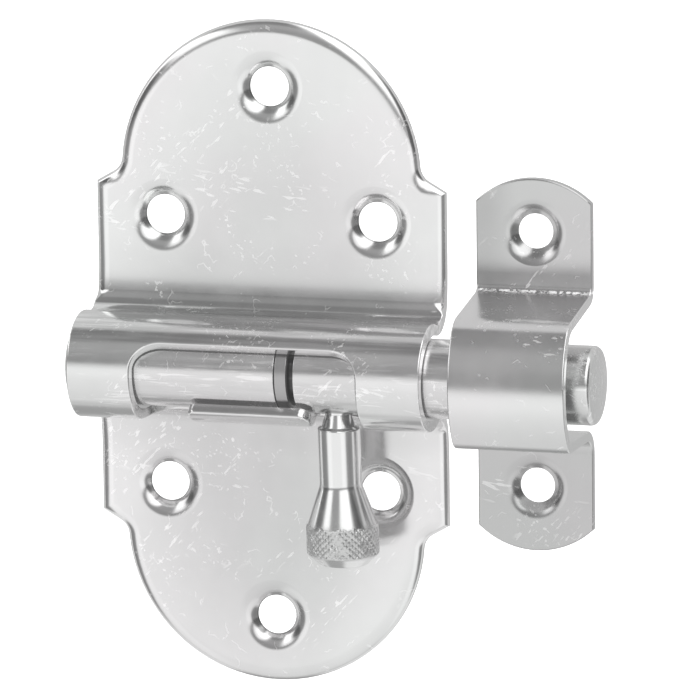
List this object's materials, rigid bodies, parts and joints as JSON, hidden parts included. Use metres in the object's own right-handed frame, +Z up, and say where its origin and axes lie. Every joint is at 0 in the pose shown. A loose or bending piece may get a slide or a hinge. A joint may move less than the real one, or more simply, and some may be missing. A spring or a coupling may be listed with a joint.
{
  "type": "spring bolt",
  "caption": "Surface-mounted spring bolt: arched sheet plate with a pressed barrel, round bolt, turned knob and a bridge keeper.",
  "frame": {"origin": "centre of the four plate screw holes, on the wall plane", "axes": "+X along the bolt towards the keeper, -Y out of the wall towards the viewer, +Z up"},
  "size_m": [0.0889, 0.0207, 0.11],
  "materials": {
    "plate": "bright zinc-plated pressed steel, lightly scratched",
    "bolt": "bright zinc-plated turned steel",
    "ring": "dull zinc-plated spring steel",
    "knob": "bright zinc-plated turned steel with a knurled band",
    "keeper": "bright zinc-plated pressed steel"
  },
  "bodies": {
    "plate": {"back_plate": "plate", "keeper": "keeper"},
    "spring": {"spring_ring": "ring"},
    "bolt": {"bolt_rod": "bolt", "knob": "knob"}
  },
  "joints": [
    {"name": "bolt_slide", "type": "slide", "parent": "plate", "child": "spring", "axis": [1, 0, 0], "range_m": [0, 0.001]},
    {"name": "bolt_turn", "type": "hinge", "parent": "spring", "child": "bolt", "pos_m": [0.0058, -0.01, -0.00115], "axis": [-1, 0, 0], "range_deg": [0, 100]}
  ]
}
